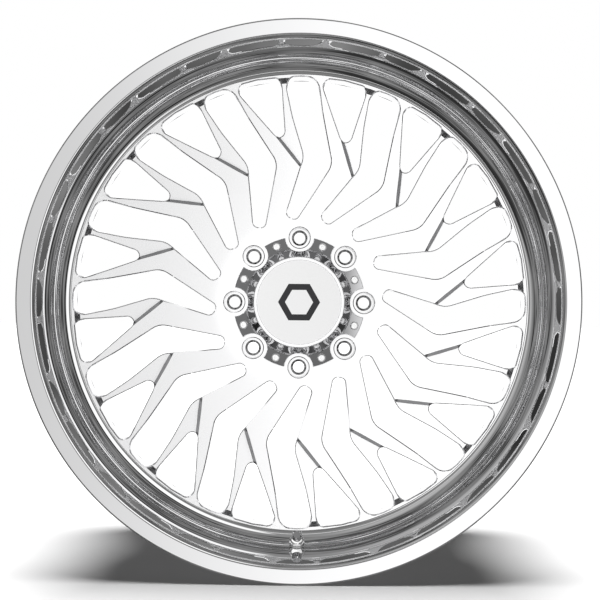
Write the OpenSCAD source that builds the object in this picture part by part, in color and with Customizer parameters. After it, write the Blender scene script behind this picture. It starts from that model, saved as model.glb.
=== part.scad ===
// Forged 24 x 12 truck wheel: rim barrel, directional forged centre, bolt-on
// centre cap and clamp-in tyre valve.
//
// Frame: the wheel stands upright, its spin axis is Y, its outboard face looks
// towards -Y and +Z is up. The origin is the wheel's centre: on the spin axis,
// midway between the two flanges.
//
// Every part is drawn in wheel coordinates, where +Z points outboard, and
// stand() turns it into the frame above. Angles on the face run clockwise
// from twelve o'clock, as seen from outboard.

/* [Rim] */
// Diameter over the flanges
flange_od = 644.2; // [630:0.2:660]
// Overall width, flange to flange
rim_width = 330.8; // [320:0.2:350]
// Diameter of the tyre bead seats
bead_seat_d = 609.6; // [609.6:0.1:610.2]
// Thickness of the barrel wall
wall_t = 6; // [5:0.5:8]
// Radius of the tyre-side well floor
well_r = 290; // [288:1:292]

/* [Face] */
// Number of main spokes
spokes = 16; // [16]
// Height of the hub pad's outboard face over the rim's centre plane
pad_z = -18.6; // [-24:0.2:-14]
// Thickness of the hub pad and of the spokes, along the spin axis
face_t = 25.4; // [22:0.2:30]
// Radius where the flat hub pad ends
pad_r = 105; // [104:0.5:107]
// Radius where the concave face meets the fillet to the barrel
ring_r = 282; // [281:0.5:284]
// Slope of the face where it leaves the pad
slope_in = 8; // [6:1:10]
// Slope of the face where it meets the ring
slope_out = 40; // [38:1:42]
// Depth of the lowered secondary arms
arm_drop = 10; // [8:0.5:12]
// Draft of the walls above the lowered arms, in degrees
arm_draft = 24; // [15:1:28]

/* [Hub] */
// Lug circle diameter
pcd = 170; // [168:0.5:172]
// Number of lug holes
lugs = 8; // [8]
// Lug hole diameter
lug_hole_d = 15; // [14:0.5:16]
// Diameter of the pocket around each lug hole
lug_pocket_d = 27.2; // [26:0.2:30]
// Depth of the lug pocket down to the flat at its bottom
lug_pocket_depth = 9; // [8:0.5:11]
// Hub bore diameter
hub_bore_d = 125.1; // [120:0.1:125.4]

/* [Centre cap] */
// Outer radius of the eight mounting ears
ear_r = 86; // [85:0.5:88]
// Thickness of the ears
ear_t = 5; // [4:0.5:6]
// Radius of the scallops that clear the lug pockets
scallop_r = 19; // [18:0.5:20]
// Radius of the cap's top edge
cap_r = 58.5; // [57:0.5:60]
// Height of the cap over the hub pad
cap_h = 32; // [28:1:36]
// Radius of the circle of cap screws
cap_screw_r = 78; // [77.5:0.5:78.5]
// How deep the cap screws reach into the hub pad
cap_screw_reach = 12; // [10:1:14]

/* [Valve] */
// Angle between the valve stem and the spin axis
valve_tilt = 40; // [38:1:42]
// Diameter of the valve hole in the rim
valve_hole_d = 11.5; // [11.3:0.1:11.7]
// Length of the stem outboard of the rim
valve_len = 11.5; // [11:0.5:13]
// Size of the valve nut over its corners
valve_nut_d = 18.4; // [17.4:0.2:18.8]

/* [Hidden] */

$fn = 96;
fine = 180;                                // facets of the large turned surfaces
coarse = 32;                               // facets of the small holes
eps = 0.01;
cut = 40;                                  // how far a cutting tool runs past a face

half_w = rim_width / 2;
od_r = flange_od / 2;
seat_r = bead_seat_d / 2;
wall_r = seat_r + 0.2 - wall_t;            // inner radius of the lip wall
fillet_r = wall_r - ring_r;                // fillet between the face and the lip wall
face_run = ring_r - pad_r;
face_arc_r = face_run / (sin(slope_out) - sin(slope_in));
ring_z = pad_z + face_arc_r * (cos(slope_in) - cos(slope_out));
joint_w = 26;                              // width of the ring that joins the barrel
disc_back_z = ring_z - joint_w;            // back of that ring
land_angle = 75;                           // the fillet stops here, short of a feather edge
sector = 360 / spokes;

// ---------------------------------------------------------------- outlines

// Point at a clockwise face angle
function at(angle, r) = [r * sin(angle), r * cos(angle)];

// Points on an arc about c, from angle a to angle b (from +X, anticlockwise)
function arc(c, r, a, b, steps) =
    [for (i = [0 : steps]) let (t = a + (b - a) * i / steps) c + r * [cos(t), sin(t)]];

function unit(v) = v / norm(v);
function turn(u, v) = acos(max(-1, min(1, u * v)));
function side(u, v) = sign(u[0] * v[1] - u[1] * v[0]);

// One corner of an outline, rounded by an arc of radius r
function rounded(before, corner, after, r) =
    let (u = unit(corner - before), v = unit(after - corner), t = turn(u, v))
    r == 0 ? [corner] :
    let (s = side(u, v),
         start = corner - u * r * tan(t / 2),
         c = start + s * r * [-u[1], u[0]],
         from = atan2(start[1] - c[1], start[0] - c[0]),
         steps = max(1, ceil(t / 15)))
    arc(c, r, from, from + s * t, steps);

// Closed outline from corners [face angle, radius, corner radius]
function outline(corners) =
    let (n = len(corners), p = [for (c = corners) at(c[0], c[1])])
    [for (i = [0 : n - 1])
        each rounded(p[(i + n - 1) % n], p[i], p[(i + 1) % n], corners[i][2])];

// The long boomerang window beside each main spoke
boomerang = [
    [18.4, 279.0, 10], [22.7, 279.5, 0], [26.9, 279.0, 16], [29.0, 242.0, 150],
    [35.5, 183.2, 22], [19.6, 107.4, 7], [13.4, 116.2, 7], [24.1, 190.1, 25],
    [20.0, 238.0, 120]
];

// The triangular window between a main spoke and its secondary arm
triangle = [[4.9, 279.0, 8], [11.2, 279.5, 0], [17.4, 279.0, 8], [17.1, 200.3, 8]];

// The lowered secondary arm: its first side is the step down from the main
// spoke, and its other sides lie inside the windows
arm_step = [at(13.3, 218.0), at(22.9, 173.5)];
arm_area = concat(arm_step, [at(28.0, 200.0), at(22.0, 290.0), at(14.5, 290.0), at(15.0, 222.0)]);

// The concave front of the face, from the pad to the ring
function face_z(r) =
    let (s = sin(slope_in) + (r - pad_r) / face_arc_r)
    pad_z + face_arc_r * (cos(slope_in) - sqrt(1 - s * s));
function face_curve(r0, r1, steps, drop) =
    [for (i = [0 : steps]) let (r = r0 + (r1 - r0) * i / steps) [r, face_z(r) - drop]];

// ---------------------------------------------------------------- placing

// From wheel coordinates to the upright frame
module stand() rotate([90, 0, 0]) children();

// Something repeated around the wheel, clockwise from a face angle
module around(count, start = 0)
    for (i = [0 : count - 1]) rotate(-start - i * 360 / count) children();

// Along the valve's axis: the origin is where it leaves the fillet at six
// o'clock, and +Z points out of the rim
module on_valve()
    translate([0, -ring_r - fillet_r * sin(valve_tilt), ring_z + fillet_r * (1 - cos(valve_tilt))])
        rotate([-valve_tilt, 0, 0]) children();

// Ring of a rectangular section, from height a to b
module tube(r_in, r_out, a, b)
    translate([0, 0, a]) difference() {
        cylinder(r = r_out, h = b - a);
        translate([0, 0, -1]) cylinder(r = r_in, h = b - a + 2);
    }

// ---------------------------------------------------------------- rim

flange_t = 13;                             // thickness of each flange
seat_w = 24;                               // width of each bead seat
hump_h = 1.2;                              // safety hump over the barrel
hump_w = 4;                                // width of the hump's crown
hump_slope = 4;                            // width of each of its slopes
seat_rise = 2;                             // rise of the tapered bead seat at the flange
tyre_r = wall_r + wall_t;                  // tyre-side radius of the barrel
rear_r = tyre_r - wall_t;                  // inner radius of the rear half
well_in_r = well_r - wall_t;               // inner radius of the well
lip_r = 6;                                 // round between the lip face and its wall
bead_r = 5;                                // round between the bead seat and the flange
rear_edge_r = 5;                           // round at the rear opening
flange_round = 4;                          // rounds of the flange's edge, tyre side
flange_edge = 2;                           // and outboard
well_out_z = disc_back_z - 28;             // outboard end of the tyre-side well
well_in_z = -90;                           // and inboard
drop_out_z = disc_back_z - 22;             // outboard end of the well, inside the barrel
drop_in_z = -82;                           // and inboard
rear_z = -108;                             // where the inside reaches its rear radius
rear_tyre_z = -118;                        // where the tyre side reaches the barrel

seat_z = half_w - flange_t - seat_w;       // inner end of the bead seat
// Flange and bead seat at one end, from the tyre side round to the lip face
function flange_points() = concat(
    [[tyre_r, seat_z - hump_w - 2 * hump_slope],
     [tyre_r + hump_h, seat_z - hump_w - hump_slope],
     [tyre_r + hump_h, seat_z - hump_slope],
     [tyre_r, seat_z]],
    arc([tyre_r + seat_rise + bead_r, half_w - flange_t - bead_r], bead_r, 180, 90, 4),
    arc([od_r - flange_round, half_w - flange_t + flange_round], flange_round, 270, 360, 4),
    arc([od_r - flange_edge, half_w - flange_edge], flange_edge, 0, 90, 3));

function mirrored(points) = [for (i = [len(points) - 1 : -1 : 0]) [points[i][0], -points[i][1]]];

module rim_section() polygon(concat(
    // lip face and lip wall, down to the shoulder behind the centre
    arc([wall_r + lip_r, half_w - lip_r], lip_r, 90, 180, 6),
    [[wall_r, disc_back_z], [well_in_r, drop_out_z], [well_in_r, drop_in_z], [rear_r, rear_z]],
    arc([rear_r + rear_edge_r, -half_w + rear_edge_r], rear_edge_r, 180, 270, 4),
    mirrored(flange_points()),
    [[tyre_r, rear_tyre_z], [well_r, well_in_z], [well_r, well_out_z], [tyre_r, disc_back_z - 4]],
    flange_points()));

// Valve hole, with a flat seat for the nut outboard and one for the grommet
// on the tyre side
valve_seat = -1.5;                         // outboard seat, along the valve's axis
valve_back = -9.5;                         // tyre-side seat
spot_r = 9.8;                              // radius of the outboard seat
spot_h = 16;                               // how far its cut runs outboard
back_spot_r = 10.5;                        // radius of the tyre-side seat
back_spot_h = 24;                          // how far its cut runs inboard
module valve_cuts() on_valve() {
    translate([0, 0, -cut]) cylinder(d = valve_hole_d, h = 2 * cut);
    translate([0, 0, valve_seat]) cylinder(r = spot_r, h = spot_h);
    translate([0, 0, valve_back - back_spot_h]) cylinder(r = back_spot_r, h = back_spot_h);
}

module rim_barrel() color("gainsboro") stand() difference() {
    rotate_extrude($fn = fine) rim_section();
    valve_cuts();
}

// ---------------------------------------------------------------- centre

curve_steps = 8;                           // straight runs that make up the concave face
fillet_steps = 5;                          // and the fillet
back_gap = 4;                              // the back of the spokes stops this far short of the ring
module centre_section() polygon(concat(
    [[hub_bore_d / 2, pad_z - face_t], [pad_r, pad_z - face_t]],
    face_curve(pad_r, ring_r - back_gap, curve_steps, face_t),
    [[ring_r + 2, disc_back_z], [wall_r, disc_back_z],
     [wall_r, ring_z + fillet_r * (1 - cos(land_angle))]],
    [for (i = [fillet_steps : -1 : 1]) let (t = land_angle * i / fillet_steps)
        [ring_r + fillet_r * sin(t), ring_z + fillet_r * (1 - cos(t))]],
    [for (i = [curve_steps : -1 : 0]) let (r = pad_r + face_run * i / curve_steps) [r, face_z(r)]],
    [[hub_bore_d / 2, pad_z]]));

// Space over the lowered arms, up to a sloping wall at the ring
arm_in_r = 160;                            // starts inside the step
arm_out_r = ring_r - 7.5;                  // foot of the wall at the ring
arm_top_r = ring_r - 2.8;                  // and its top
module arm_space() rotate_extrude($fn = fine) polygon(concat(
    face_curve(arm_in_r, arm_out_r, 6, arm_drop),
    [[arm_out_r + arm_drop * tan(arm_draft), ring_z], [arm_top_r, ring_z + cut],
     [arm_in_r, ring_z + cut]]));

// Prism over an arm, tipped about the step so that the step's wall has draft
module arm_prism() {
    d = arm_step[1] - arm_step[0];
    heading = atan2(d[1], d[0]);
    step_z = (face_z(norm(arm_step[0])) + face_z(norm(arm_step[1]))) / 2;
    translate([arm_step[0][0], arm_step[0][1], step_z]) rotate(heading) rotate([arm_draft, 0, 0])
        rotate(-heading) translate([-arm_step[0][0], -arm_step[0][1], -cut])
            linear_extrude(3 * cut) polygon(arm_area);
}

cone_w = 2.8;                              // width of the lug nut's conical seat
cone_h = cone_w * tan(60);                 // a 60 degree cone
lug_edge = 1;                              // chamfer round the pocket
module lug_hole() translate([0, pcd / 2, 0]) {
    floor_z = pad_z - lug_pocket_depth;
    translate([0, 0, pad_z - face_t - 1]) cylinder(d = lug_hole_d, h = face_t + 2);
    translate([0, 0, floor_z]) cylinder(d = lug_pocket_d, h = cut);
    translate([0, 0, floor_z - cone_h])
        cylinder(r1 = lug_hole_d / 2, r2 = lug_hole_d / 2 + cone_w, h = cone_h + eps);
    translate([0, 0, pad_z - lug_edge])
        cylinder(d1 = lug_pocket_d - eps, d2 = lug_pocket_d + 2 * lug_edge + eps, h = lug_edge + eps);
}

window_z = -100;                           // where the windows' cuts start
window_h = 240;                            // and how far they run
module centre_windows() {
    around(spokes) translate([0, 0, window_z]) linear_extrude(window_h) polygon(outline(boomerang));
    around(spokes) translate([0, 0, window_z]) linear_extrude(window_h) polygon(outline(triangle));
}
screw_hole_r = 3;                          // tapped holes for the cap screws
drill_tip = 4;                             // and how much deeper than the screws they are

module forged_centre() color("whitesmoke") stand() difference() {
    rotate_extrude($fn = fine) centre_section();
    centre_windows();
    around(spokes) intersection() {
        arm_space();
        arm_prism();
    }
    around(lugs) lug_hole();
    around(lugs, 180 / lugs) translate([0, cap_screw_r, pad_z - cap_screw_reach - drill_tip])
        cylinder(r = screw_hole_r, h = cut, $fn = coarse);
    valve_cuts();
}

// ---------------------------------------------------------------- centre cap

cap_top_z = pad_z + cap_h;
badge_r = cap_r - 5.1;                     // recess for the badge
badge_t = 2;
badge_gap = 0.4;                           // groove round the badge
foot_r = 70;                               // foot of the cap's taper
foot_flare = 2;                            // flare at the foot
top_edge = 3;                              // bevel round the cap's top
cap_hollow_r = 54;                         // hollow for the hub's end
cap_skin = 7;                              // thickness of the cap's top
ear_hole_r = 3.3;                          // clearance holes for the cap screws

module cap_body() color("dimgray") stand() difference() {
    union() {
        translate([0, 0, pad_z]) cylinder(r = ear_r, h = ear_t);
        rotate_extrude() polygon([
            [0, pad_z], [foot_r, pad_z], [foot_r, pad_z + ear_t],
            [foot_r - foot_flare, pad_z + ear_t + foot_flare],
            [cap_r, cap_top_z - top_edge - 0.5], [cap_r, cap_top_z - top_edge],
            [cap_r - top_edge, cap_top_z], [0, cap_top_z]]);
    }
    around(lugs) translate([0, pcd / 2, pad_z - 1]) cylinder(r = scallop_r, h = cap_h + 2);
    translate([0, 0, pad_z - 1]) cylinder(r = cap_hollow_r, h = cap_h - cap_skin + 1);
    translate([0, 0, cap_top_z - badge_t]) cylinder(r = badge_r, h = cut);
    around(lugs, 180 / lugs) translate([0, cap_screw_r, pad_z - 1])
        cylinder(r = ear_hole_r, h = cut, $fn = coarse);
}

module cap_badge() color("lightgray") stand() difference() {
    translate([0, 0, cap_top_z - badge_t]) cylinder(r = badge_r - badge_gap, h = badge_t);
    translate([0, 0, cap_top_z - emblem_t]) emblem_shape(cut);
}

// Plain hexagon ring, inlaid in the badge
emblem_r = 27;
emblem_in_r = 18;
emblem_t = 0.6;
module emblem_shape(h) linear_extrude(h) difference() {
    circle(r = emblem_r, $fn = 6);
    circle(r = emblem_in_r, $fn = 6);
}

module cap_emblem() color("darkslategray") stand()
    translate([0, 0, cap_top_z - emblem_t]) emblem_shape(emblem_t);

// Button-head socket screw, one through each ear
head_r = 5.5;
head_h = 3.4;
head_round = 3;
head_side = 0.5;                           // upright side of the head
socket_r = 2.3;                            // hexagon socket, over its corners
socket_z = 1.2;                            // floor of the socket
thread_gap = 0.05;                         // screws and nuts clear their threads by this
module cap_screw(i) color("silver") stand() rotate(-(i - 0.5) * 360 / lugs)
    translate([0, cap_screw_r, pad_z + ear_t]) difference() {
        union() {
            translate([0, 0, -ear_t - cap_screw_reach])
                cylinder(r = screw_hole_r - thread_gap, h = ear_t + cap_screw_reach, $fn = coarse);
            rotate_extrude($fn = 48) polygon(concat(
                [[0, 0], [head_r, 0], [head_r, head_side]],
                arc([head_r - head_round, head_side], head_round, 15, 75, 4), [[0, head_h]]));
        }
        translate([0, 0, socket_z]) cylinder(r = socket_r, h = head_h, $fn = 6);
    }

// ---------------------------------------------------------------- valve

stem_r = 4.15;                             // thread for the nut
tip_r = 3.8;                               // thread for the cap
stem_foot_r = 8.5;                         // foot of the stem, on the tyre side
stem_foot_t = 2.5;
grommet_t = 2;                             // what it is squeezed to under the foot
air_r = 1.6;                               // air way through the stem
core_bore_r = 2.7;
snug = 0.03;                               // clearance of the rubber round the stem
seal_t = 1.8;
washer_t = 1.2;
nut_z = valve_seat + seal_t + washer_t;
nut_h = 5.3;
nut_top_r = 5.6;                           // the nut's corners are turned down to this
nut_side = 2.4;                            // up to here its corners are full
nut_end = nut_z + nut_h;

module valve_stem() color("silver") stand() on_valve() difference() {
    union() {
        translate([0, 0, valve_back - grommet_t - stem_foot_t]) cylinder(r = stem_foot_r, h = stem_foot_t);
        translate([0, 0, valve_back - grommet_t - eps])
            cylinder(r = stem_r, h = nut_end - valve_back + grommet_t + 2 * eps);
        translate([0, 0, nut_end]) cylinder(r = tip_r, h = valve_len - nut_end);
    }
    translate([0, 0, -cut]) cylinder(r = air_r, h = 2 * cut, $fn = coarse);
    translate([0, 0, core_z]) cylinder(r = core_bore_r, h = cut, $fn = coarse);
}

module valve_grommet() color("black") stand() on_valve() {
    tube(stem_r + snug, 8.2, valve_back - grommet_t, valve_back - eps);
    tube(stem_r + snug, valve_hole_d / 2 - thread_gap, valve_back - 2 * eps, valve_seat - 1);
}

module valve_outer_seal() color("black") stand() on_valve()
    tube(stem_r + snug, 7.8, valve_seat, valve_seat + seal_t);

module valve_washer() color("silver") stand() on_valve()
    tube(stem_r + 2 * thread_gap, 8.8, valve_seat + seal_t, nut_z);

// Hexagon nut, its upper corners turned down to a dome
module valve_nut() color("silver") stand() on_valve() difference() {
    intersection() {
        translate([0, 0, nut_z]) cylinder(d = valve_nut_d, h = nut_h, $fn = 6);
        rotate_extrude() polygon([
            [0, nut_z], [valve_nut_d / 2 - 0.4, nut_z], [valve_nut_d / 2, nut_z + 0.4],
            [valve_nut_d / 2, nut_z + nut_side], [nut_top_r + 1.6, nut_end - 1], [nut_top_r, nut_end],
            [0, nut_end]]);
    }
    translate([0, 0, nut_z - 1]) cylinder(r = stem_r + thread_gap, h = nut_h + 2);
}

// The core stands in its bore on the pin's seal, a little short of the stem's end
core_z = valve_len - 15;                   // floor of the core's bore
core_neck_r = 1.7;
core_in_r = 1.15;                          // room round the pin
neck_z = core_z + 3.5;
core_body_z = core_z + 7.5;
core_end_z = core_z + 12.5;
pin_r = 0.8;
pin_z = core_z + 1.3;
pin_h = 13.2;
pin_foot_r = 2;
pin_foot_t = 0.8;

module valve_core_body() color("goldenrod") stand() on_valve() {
    tube(core_in_r, core_bore_r - thread_gap, core_body_z, core_end_z);
    tube(core_in_r, core_neck_r, neck_z, core_body_z + eps);
}

module valve_core_gasket() color("black") stand() on_valve()
    tube(core_neck_r + 0.02, core_bore_r - 0.02, core_body_z - 1.5, core_body_z - 0.1);

module valve_core_pin() color("goldenrod") stand() on_valve() {
    translate([0, 0, pin_z]) cylinder(r = pin_r, h = pin_h, $fn = coarse);
    translate([0, 0, pin_z]) cylinder(r = pin_foot_r, h = pin_foot_t, $fn = coarse);
}

module valve_core_seal() color("black") stand() on_valve()
    tube(pin_r + 0.02, pin_foot_r - 0.1, pin_z + pin_foot_t, neck_z - 0.1);

// Coil spring round the pin, drawn as the sleeve its coils fill
spring_r = 1.1;
spring_wire = 0.24;
spring_h = 3.2;
module valve_core_spring() color("silver") stand() on_valve()
    tube(spring_r - spring_wire, spring_r, core_body_z + 0.5, core_body_z + 0.5 + spring_h, $fn = coarse);

valve_cap_r = 5.6;
valve_cap_z = nut_end + 0.4;               // open end of the valve cap
valve_cap_end = valve_len + 3;
valve_cap_seal_z = valve_len + 0.15;
valve_cap_seal_t = 1.1;
module valve_cap() color("silver") stand() on_valve() difference() {
    rotate_extrude($fn = 48) polygon([
        [0, valve_cap_z], [valve_cap_r - 0.4, valve_cap_z], [valve_cap_r, valve_cap_z + 0.4],
        [valve_cap_r, valve_cap_end - 1.2], [valve_cap_r - 1, valve_cap_end], [0, valve_cap_end]]);
    translate([0, 0, valve_cap_z - 1])
        cylinder(r = tip_r + 0.1, h = valve_cap_seal_z + valve_cap_seal_t - valve_cap_z + 1.05);
}

module valve_cap_seal() color("black") stand() on_valve()
    tube(1.4, tip_r, valve_cap_seal_z, valve_cap_seal_z + valve_cap_seal_t);

rim_barrel();
forged_centre();
cap_body();
cap_badge();
cap_emblem();
cap_screw(1);  // cap_screw_1
cap_screw(2);  // cap_screw_2
cap_screw(3);  // cap_screw_3
cap_screw(4);  // cap_screw_4
cap_screw(5);  // cap_screw_5
cap_screw(6);  // cap_screw_6
cap_screw(7);  // cap_screw_7
cap_screw(8);  // cap_screw_8
valve_stem();
valve_grommet();
valve_outer_seal();
valve_washer();
valve_nut();
valve_core_body();
valve_core_gasket();
valve_core_pin();
valve_core_seal();
valve_core_spring();
valve_cap();
valve_cap_seal();
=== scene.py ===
"""Looks of a polished forged truck wheel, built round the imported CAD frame.

Shapes are drawn in wheel coordinates, in millimetres: +Z points outboard, and face angles run
clockwise from twelve o'clock. STAND turns them into the row frame, where outboard is -Y.
"""
import math

import bpy
import numpy as np
from mathutils import Matrix, Vector
from mathutils.geometry import delaunay_2d_cdt

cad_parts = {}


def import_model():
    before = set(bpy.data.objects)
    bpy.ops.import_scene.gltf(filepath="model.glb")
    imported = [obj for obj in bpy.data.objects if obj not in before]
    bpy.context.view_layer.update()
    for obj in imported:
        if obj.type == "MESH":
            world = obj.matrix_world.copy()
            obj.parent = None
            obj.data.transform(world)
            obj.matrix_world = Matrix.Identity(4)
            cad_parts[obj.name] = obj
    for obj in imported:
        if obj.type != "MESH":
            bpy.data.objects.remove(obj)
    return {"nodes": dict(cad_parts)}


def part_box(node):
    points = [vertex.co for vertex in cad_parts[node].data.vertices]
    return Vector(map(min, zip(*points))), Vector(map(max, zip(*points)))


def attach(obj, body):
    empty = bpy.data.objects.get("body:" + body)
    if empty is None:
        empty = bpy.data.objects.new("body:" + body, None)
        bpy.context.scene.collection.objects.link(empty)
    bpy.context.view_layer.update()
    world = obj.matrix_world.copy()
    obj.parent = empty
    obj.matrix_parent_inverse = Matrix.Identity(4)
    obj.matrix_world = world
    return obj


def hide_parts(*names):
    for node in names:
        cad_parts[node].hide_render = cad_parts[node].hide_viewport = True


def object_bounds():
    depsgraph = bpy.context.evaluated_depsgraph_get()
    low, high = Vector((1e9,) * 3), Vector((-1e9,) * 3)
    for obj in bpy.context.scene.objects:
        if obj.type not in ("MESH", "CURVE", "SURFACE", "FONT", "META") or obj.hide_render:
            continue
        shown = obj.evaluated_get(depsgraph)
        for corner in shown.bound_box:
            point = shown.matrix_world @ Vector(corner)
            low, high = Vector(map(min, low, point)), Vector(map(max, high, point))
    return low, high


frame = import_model()
cad_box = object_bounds()

MM = 0.001
STAND = Matrix.Rotation(math.pi / 2, 4, "X")

# ------------------------------------------------------------------ dimensions, in millimetres
rim_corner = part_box("rim_barrel")[1]
half_w = rim_corner.y / MM
od_r = rim_corner.x / MM
wall_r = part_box("forged_centre")[1].x / MM     # lip wall, where the centre is held
wall_t = 6.0
tyre_r = wall_r + wall_t                       # tyre side of the barrel
well_r = 290.0
well_in_r = well_r - wall_t

pad_z, pad_r = -18.6, 105.0                    # the hub's flat pad
ring_r = 282.0                                 # where the concave face meets its fillet
fillet_r = wall_r - ring_r
face_t = 25.4                                  # thickness of the pad and the spokes
slope_in, slope_out = math.radians(8), math.radians(40)
face_arc = (ring_r - pad_r) / (math.sin(slope_out) - math.sin(slope_in))
ring_z = pad_z + face_arc * (math.cos(slope_in) - math.cos(slope_out))
joint_w = 26.0                                 # width of the ring that joins the barrel
disc_back = ring_z - joint_w
back_end, joint_start = ring_r - 4, ring_r + 2 # where the back of the spokes runs into the ring
seam_r = 281.5                                 # where the spoke sheet meets the turned ring
spokes = 16
sector = 360 / spokes
arm_drop = 10.0                                # depth of the lowered secondary arms
arm_draft = math.radians(24)
arm_wall = arm_drop * math.tan(arm_draft)
edge = 1.2                                     # chamfer along the windows and the bore
bore_r = 62.55

lugs, lug_circle = 8, 85.0
lug_r, lug_edge = 7.5, 0.8                     # bolt hole and its rear chamfer
pocket_r, pocket_edge, pocket_h = 13.6, 1.0, 9.0
cone_w, cone_h = 2.8, 4.8                      # seat of the lug nut
screw_circle = 78.0
screw_r, screw_edge, screw_h, drill_tip = 3.0, 0.4, 16.0, 1.0

cap_h = 32.0
cap_top = pad_z + cap_h
cap_r, foot_r = 58.5, 70.0                     # top and foot of the dome
ear_r, ear_t, scallop_r = 86.0, 5.0, 19.0
ear_hole_r = 3.3
hollow_r, hollow_h = 54.0, 25.0                # room for the hub's nose
recess_r, recess_h = 53.9, 2.0                 # recess for the badge

# sides of the turned surfaces
RIM_SIDES, RING_SIDES, BORE_SIDES, CAP_SIDES = 360, 720, 192, 256
LUG_SIDES, SCREW_SIDES, EAR_HOLE_SIDES = 64, 24, 32


# ------------------------------------------------------------------ outlines
def at(angle, r):
    """Points at clockwise face angles, in degrees, and radii."""
    a = np.radians(angle)
    return np.stack([r * np.sin(a), r * np.cos(a)], -1)


def spin(points, angle):
    """Points turned clockwise by an angle in degrees."""
    a = math.radians(angle)
    turn = np.array([[math.cos(a), -math.sin(a)], [math.sin(a), math.cos(a)]])
    return np.asarray(points) @ turn


def circle(r, n, centre=(0.0, 0.0), start=0.0):
    """Points round a circle, n of them, from a face angle on."""
    return np.asarray(centre) + at(start + 360 * np.arange(n) / n, r)


def unit(rows):
    """Each row at length 1."""
    return rows / np.linalg.norm(rows, axis=1)[:, None]


def rounded(corners):
    """Closed outline from corners [face angle, radius, corner radius], with its long sides divided."""
    step, longest = 7.5, 5.0                   # degrees of an arc, millimetres of a side
    p = np.array([at(a, r) for a, r, _ in corners])
    points = []
    for i, (_, _, radius) in enumerate(corners):
        before, corner, after = p[i - 1], p[i], p[(i + 1) % len(p)]
        u = (corner - before) / np.linalg.norm(corner - before)
        v = (after - corner) / np.linalg.norm(after - corner)
        turn = math.acos(max(-1, min(1, float(u @ v))))
        if radius == 0:
            points.append(corner)
            continue
        side = 1 if u[0] * v[1] - u[1] * v[0] > 0 else -1
        start = corner - u * radius * math.tan(turn / 2)
        centre = start + side * radius * np.array([-u[1], u[0]])
        first = math.atan2(*(start - centre)[::-1])
        steps = max(2, math.ceil(math.degrees(turn) / step))
        for k in range(steps + 1):
            a = first + side * turn * k / steps
            points.append(centre + radius * np.array([math.cos(a), math.sin(a)]))
    out = []
    for a, b in zip(points, points[1:] + points[:1]):
        n = max(1, math.ceil(np.linalg.norm(b - a) / longest))
        out += [a + (b - a) * k / n for k in range(n)]
    return np.array(out)


def side_normals(loop):
    """Unit normals of a closed loop, to the left of its direction."""
    ahead = unit(np.roll(loop, -1, 0) - loop)
    mean = unit(ahead + np.roll(ahead, 1, 0))
    return np.stack([-mean[:, 1], mean[:, 0]], -1)


def inside(loop, q):
    """Which of the points q lie inside a closed loop."""
    a, b = loop, np.roll(loop, -1, 0)
    x, y = q[:, :1], q[:, 1:]
    over = (a[:, 1] > y) != (b[:, 1] > y)
    with np.errstate(divide="ignore", invalid="ignore"):
        cross = (b[:, 0] - a[:, 0]) * (y - a[:, 1]) / (b[:, 1] - a[:, 1]) + a[:, 0]
    return (np.sum(over & (x < cross), axis=1) % 2) == 1


def outward(loop):
    """Unit normals of a closed loop, pointing out of it."""
    normals = side_normals(loop)
    return -normals if inside(loop, loop + normals * 0.5).mean() > 0.5 else normals


def crossing(a, b, c, d):
    """Where segment a-b crosses segment c-d, as a fraction of a-b, or None."""
    r, s = b - a, d - c
    den = r[0] * s[1] - r[1] * s[0]
    if abs(den) < 1e-12:
        return None
    t = ((c - a)[0] * s[1] - (c - a)[1] * s[0]) / den
    u = ((c - a)[0] * r[1] - (c - a)[1] * r[0]) / den
    return t if 0 <= t < 1 and 0 <= u < 1 else None


BOOMERANG = rounded([
    (18.4, 279.0, 10), (22.7, 279.5, 0), (26.9, 279.0, 16), (29.0, 242.0, 150), (35.5, 183.2, 22),
    (19.6, 107.4, 7), (13.4, 116.2, 7), (24.1, 190.1, 25), (20.0, 238.0, 120)])[::-1]
TRIANGLE = rounded([(4.9, 279.0, 8), (11.2, 279.5, 0), (17.4, 279.0, 8), (17.1, 200.3, 8)])[::-1]
STEP = [at(13.3, 218.0), at(22.9, 173.5)]
ARM_AREA = np.array(STEP + [at(28.0, 200.0), at(22.0, 290.0), at(14.5, 290.0), at(15.0, 222.0)])
step_dir = (STEP[1] - STEP[0]) / np.linalg.norm(STEP[1] - STEP[0])
step_side = np.array([-step_dir[1], step_dir[0]])          # from the main spoke towards the arm
arm_end = (274.2, 278.4)                                   # foot and top of the wall at the ring


# ------------------------------------------------------------------ heights of the centre
def face_slope(r):
    """How steeply the concave face rises at a radius."""
    s = math.sin(slope_in) + (np.clip(r, pad_r, ring_r) - pad_r) / face_arc
    return np.where(r < pad_r, 0.0, s / np.sqrt(1 - s * s))


def face_z(r):
    """Height of the concave face at a radius, with nothing lowered."""
    s = math.sin(slope_in) + (np.clip(r, pad_r, ring_r) - pad_r) / face_arc
    return pad_z + face_arc * (math.cos(slope_in) - np.sqrt(1 - s * s))


def folded(xy):
    """Each point as it lies in the pattern's first two sectors, and its radius."""
    r = np.hypot(xy[:, 0], xy[:, 1])
    a = np.degrees(np.arctan2(xy[:, 0], xy[:, 1])) % sector
    return [at(a, r), at(a + sector, r)], r


def arm_depth(xy):
    """How far the face is lowered, from 0 to 1, over the secondary arms."""
    both, r = folded(xy)
    depth = np.zeros(len(xy))
    for q in both:
        fall = np.clip((q - STEP[0]) @ step_side / arm_wall, 0, 1)
        depth = np.where(inside(ARM_AREA, q), np.maximum(depth, fall), depth)
    return np.minimum(depth, np.clip((arm_end[1] - r) / (arm_end[1] - arm_end[0]), 0, 1))


def front(xy):
    """Height of the outboard face."""
    return face_z(np.hypot(xy[:, 0], xy[:, 1])) - arm_drop * arm_depth(xy)


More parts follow.
